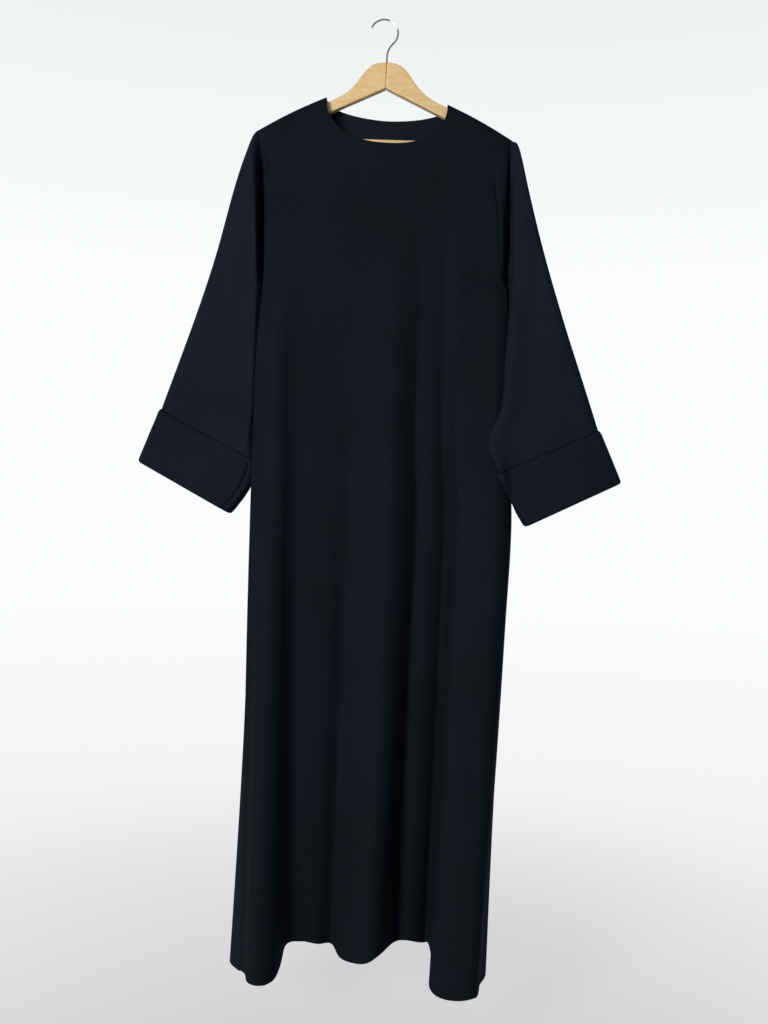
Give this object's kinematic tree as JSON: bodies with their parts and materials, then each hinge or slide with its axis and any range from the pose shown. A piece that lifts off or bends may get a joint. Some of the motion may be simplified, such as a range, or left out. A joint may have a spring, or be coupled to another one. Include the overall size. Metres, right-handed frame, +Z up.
{
  "type": "abaya on hanger",
  "caption": "Full-length A-line pullover abaya in black plain-weave cloth with wide cuffed sleeves, hanging from a wooden hanger",
  "frame": {"origin": "The top of the hook's inside, where the hanger bears on a nail or a rail.", "axes": "+Z up along the hanging garment; -Y is the front of the garment; +X runs to the side of the wearer's left sleeve, which is the right-hand side for someone who faces the front."},
  "size_m": [0.8034, 0.1944, 1.6113],
  "materials": {
    "cloth": "matte plain weave",
    "hanger_wood": "clear satin varnish",
    "hook_wire": "polished"
  },
  "bodies": {
    "root": {"front_panel": "cloth", "back_panel": "cloth", "sleeve_left": "cloth", "sleeve_right": "cloth", "cuff_left": "cloth", "cuff_right": "cloth", "hanger_arm_left": "hanger_wood", "hanger_arm_right": "hanger_wood", "trouser_bar": "hanger_wood", "hook": "hook_wire"}
  },
  "joints": []
}
